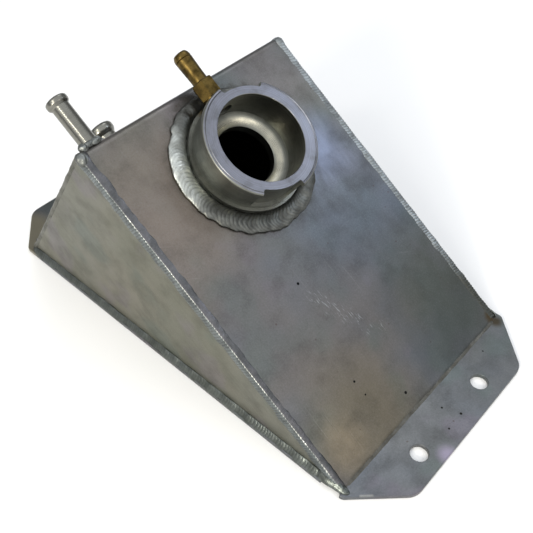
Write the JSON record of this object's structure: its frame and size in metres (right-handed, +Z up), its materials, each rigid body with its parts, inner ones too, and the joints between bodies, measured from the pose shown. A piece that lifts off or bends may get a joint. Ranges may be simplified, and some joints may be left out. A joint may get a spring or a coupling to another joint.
{
  "type": "hydraulic reservoir",
  "caption": "Wedge-shaped welded aluminium fluid reservoir with mounting tabs, an open pressure-cap filler neck, beaded hose tails and a brass overflow barb.",
  "frame": {"origin": "centre of the rectangle that bounds the part seen from above, on the underside of the flat base plate", "axes": "+Z up, out of the base plate; +Y from the thin front edge to the tall rear wall; +X to the right seen from the front"},
  "size_m": [0.1346, 0.2736, 0.1238],
  "materials": {
    "sheet": "satin, handled and lightly oxidised sheet",
    "machined": "turned, satin",
    "weld": "rippled TIG bead",
    "tube": "drawn tube, semi-bright",
    "brass": "tarnished"
  },
  "bodies": {
    "root": {"base_plate": "sheet", "top_and_rear_panel": "sheet", "left_side_plate": "sheet", "right_side_plate": "sheet", "filler_neck": "machined", "overflow_barb": "brass", "upper_hose_tail": "tube", "lower_hose_tail": "tube", "neck_weld": "weld", "upper_tail_weld": "weld", "lower_tail_weld": "weld", "rear_base_weld": "weld", "front_seam_weld": "weld", "left_base_weld": "weld", "right_base_weld": "weld", "left_top_weld": "weld", "right_top_weld": "weld", "left_rear_weld": "weld", "right_rear_weld": "weld"}
  },
  "joints": []
}
